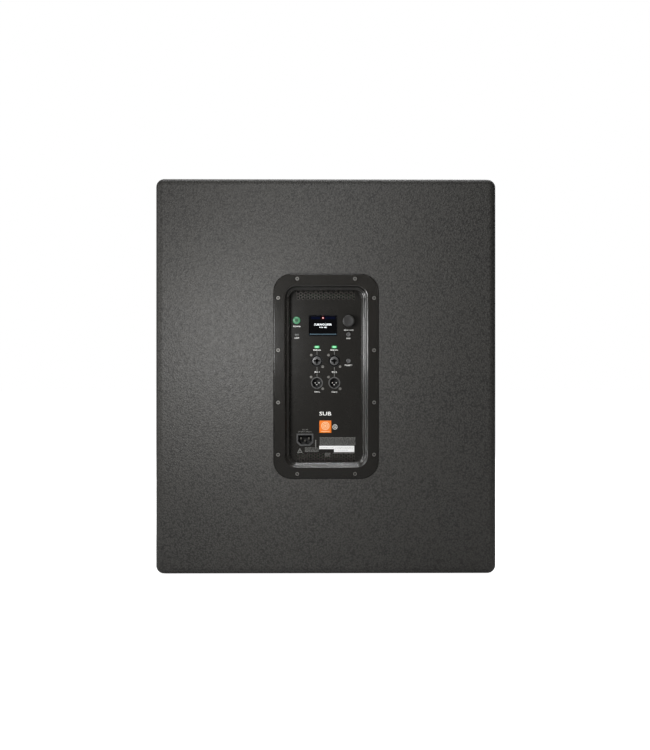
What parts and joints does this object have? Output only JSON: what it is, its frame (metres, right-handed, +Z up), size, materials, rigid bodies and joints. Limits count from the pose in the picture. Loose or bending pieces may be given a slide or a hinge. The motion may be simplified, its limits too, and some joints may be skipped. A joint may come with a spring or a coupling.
{
  "type": "powered subwoofer",
  "caption": "Mains-powered stage subwoofer: plywood cabinet with steel front grille, side handles, pole socket and a recessed rear amplifier panel with display, knob, sockets and vents.",
  "frame": {"origin": "centre of the footprint, on the surface that the rubber feet stand on", "axes": "+Z up, +Y towards the amplifier side, so the grille faces -Y; +X is to the right of someone facing the grille"},
  "size_m": [0.594, 0.75, 0.6925],
  "materials": {
    "cabinet_coating": "black textured coating over birch plywood",
    "plywood": "bare birch plywood",
    "grille_steel": "black powder coat",
    "grille_foam": "open-cell foam",
    "black_screw": "black zinc",
    "zinc_steel": "bright zinc",
    "moulded_black": "fine-grained moulding",
    "grip_plastic": "smooth satin",
    "pole_steel": "black powder coat",
    "foot_rubber": "matte",
    "cast_aluminium": "black powder coat on casting",
    "gasket": "closed-cell foam",
    "surround_cloth": "doped cloth",
    "cone_paper": "fibre-reinforced paper",
    "coil_copper": "copper wire on former",
    "spider_cloth": "resin-treated cotton",
    "magnet": "sintered",
    "bare_steel": "machined",
    "terminal_block": "moulding",
    "lead_sleeve": "insulation",
    "wadding": "fluffy",
    "panel_steel": "satin powder coat",
    "power_key": "translucent",
    "small_key": "satin",
    "knob_plastic": "satin",
    "lens": "clear",
    "bezel": "gloss",
    "light_pipe": "translucent",
    "socket_plastic": "gloss",
    "socket_shell": "nickel",
    "inlet_plastic": "moulding",
    "badge": "gloss",
    "sticker": "satin",
    "circuit_board": "solder mask",
    "heat_sink": "natural",
    "enclosure_steel": "galvanised"
  },
  "bodies": {
    "cabinet": {"left_side_panel": "cabinet_coating", "right_side_panel": "cabinet_coating", "top_panel": "cabinet_coating", "bottom_panel": "cabinet_coating", "rear_panel": "cabinet_coating", "front_baffle": "cabinet_coating", "port_shelf": "cabinet_coating", "port_ribs": "cabinet_coating", "window_brace": "plywood", "grille_battens": "plywood", "front_grille": "grille_steel", "grille_foam": "grille_foam", "grille_screws": "black_screw", "left_handle_cup": "moulded_black", "right_handle_cup": "moulded_black", "handle_grips": "grip_plastic", "hardware_screws": "black_screw", "pole_socket": "pole_steel", "rubber_feet": "foot_rubber", "foot_screws": "zinc_steel", "woofer_frame": "cast_aluminium", "woofer_gasket": "gasket", "woofer_surround": "surround_cloth", "woofer_spider": "spider_cloth", "woofer_top_plate": "bare_steel", "woofer_magnet": "magnet", "woofer_pole_piece": "bare_steel", "woofer_terminals": "terminal_block", "woofer_bolts": "black_screw", "woofer_tee_nuts": "zinc_steel", "speaker_leads": "lead_sleeve", "acoustic_lining": "wadding", "amp_frame": "moulded_black", "amp_gasket": "gasket", "amp_screws": "black_screw", "control_panel": "panel_steel", "control_board": "circuit_board", "encoder_body": "bare_steel", "display_lens": "lens", "display_module": "bezel", "indicator_leds": "light_pipe", "combo_inputs": "socket_plastic", "thru_outputs": "socket_shell", "connector_screws": "black_screw", "mains_inlet": "inlet_plastic", "panel_badge": "badge", "rating_label": "sticker", "input_board": "circuit_board", "power_board": "circuit_board", "heat_sink": "heat_sink", "amp_enclosure": "enclosure_steel"},
    "moving_cone": {"woofer_cone": "cone_paper", "woofer_dust_cap": "cone_paper", "voice_coil": "coil_copper"},
    "power_key": {"power_button": "power_key"},
    "back_key": {"back_button": "small_key"},
    "polarity_key": {"polarity_button": "small_key"},
    "encoder_push": {"encoder_collar": "bare_steel"},
    "encoder_dial": {"encoder_shaft": "bare_steel", "encoder_knob": "knob_plastic"}
  },
  "joints": [
    {"name": "cone_travel", "type": "slide", "parent": "cabinet", "child": "moving_cone", "axis": [0, -1, 0], "range_m": [-0.009, 0.009], "stiffness_N_per_m": 8000, "deforming": ["woofer_surround", "woofer_spider"]},
    {"name": "power_press", "type": "slide", "parent": "cabinet", "child": "power_key", "axis": [0, -1, 0], "range_m": [0, 0.0015], "stiffness_N_per_m": 800},
    {"name": "back_press", "type": "slide", "parent": "cabinet", "child": "back_key", "axis": [0, -1, 0], "range_m": [0, 0.0008], "stiffness_N_per_m": 1500},
    {"name": "polarity_press", "type": "slide", "parent": "cabinet", "child": "polarity_key", "axis": [0, -1, 0], "range_m": [0, 0.0008], "stiffness_N_per_m": 1500},
    {"name": "encoder_press", "type": "slide", "parent": "cabinet", "child": "encoder_push", "axis": [0, -1, 0], "range_m": [0, 0.0006], "stiffness_N_per_m": 4000},
    {"name": "encoder_turn", "type": "hinge", "parent": "encoder_push", "child": "encoder_dial", "pos_m": [-0.0397, 0.355, 0.4447], "axis": [0, 1, 0], "continuous": true}
  ]
}
